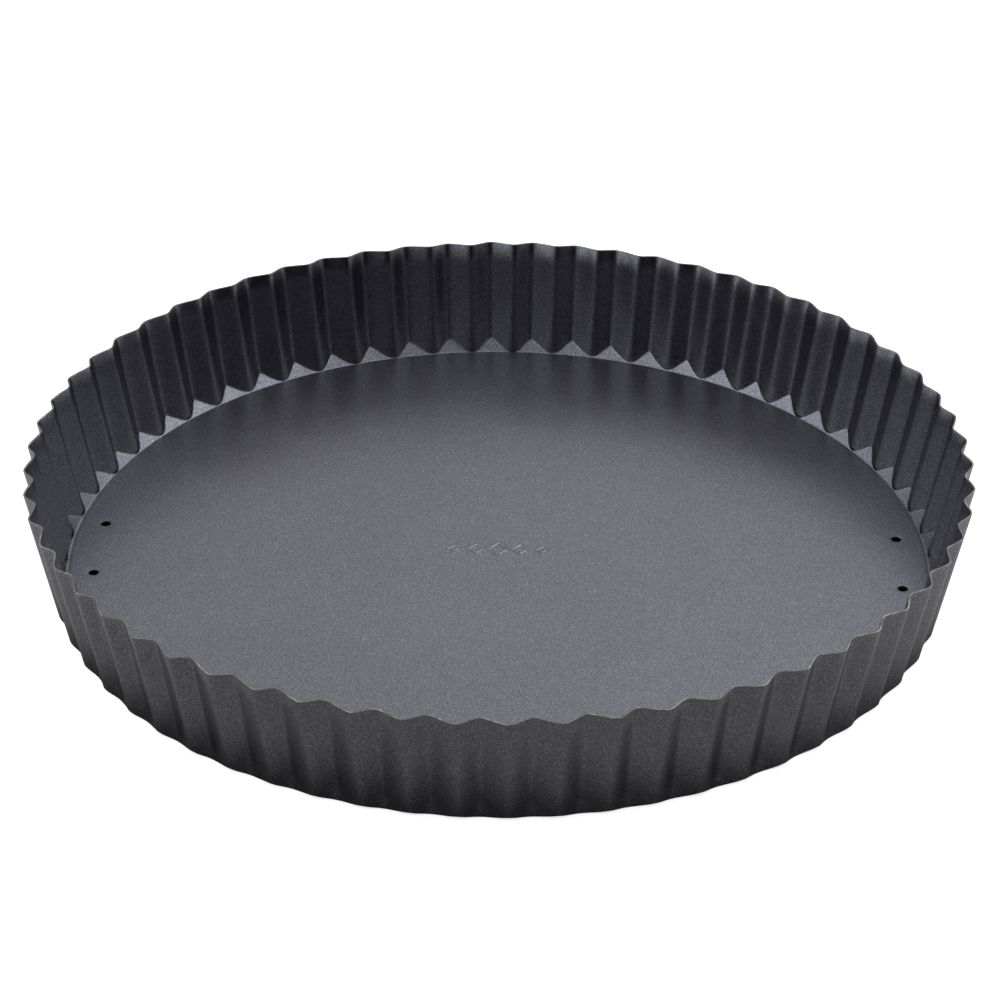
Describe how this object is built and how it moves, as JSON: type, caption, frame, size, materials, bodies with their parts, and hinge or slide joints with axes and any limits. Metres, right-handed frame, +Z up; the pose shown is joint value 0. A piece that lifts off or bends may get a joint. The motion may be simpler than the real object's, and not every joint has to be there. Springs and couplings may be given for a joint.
{
  "type": "tart pan",
  "caption": "Round fluted tart pan: a tapered ring with an inward ledge and a flat loose base that lifts out to free the tart.",
  "frame": {"origin": "on the pan's axis, in the plane of the table it stands on", "axes": "+Z up along the axis, from the foot to the open rim; +X through a flute crest and between the base's two hanging holes on that side"},
  "size_m": [0.27, 0.2696, 0.035],
  "materials": {
    "ring_coating": "satin non-stick coating with a fine metallic fleck, on steel sheet",
    "base_coating": "satin non-stick coating with a fine metallic fleck, on steel sheet"
  },
  "bodies": {
    "ring": {"fluted_ring": "ring_coating"},
    "base": {"loose_base": "base_coating"}
  },
  "joints": [
    {"name": "base_lift", "type": "slide", "parent": "ring", "child": "base", "axis": [0, 0, 1], "range_m": [0, 0.06]}
  ]
}
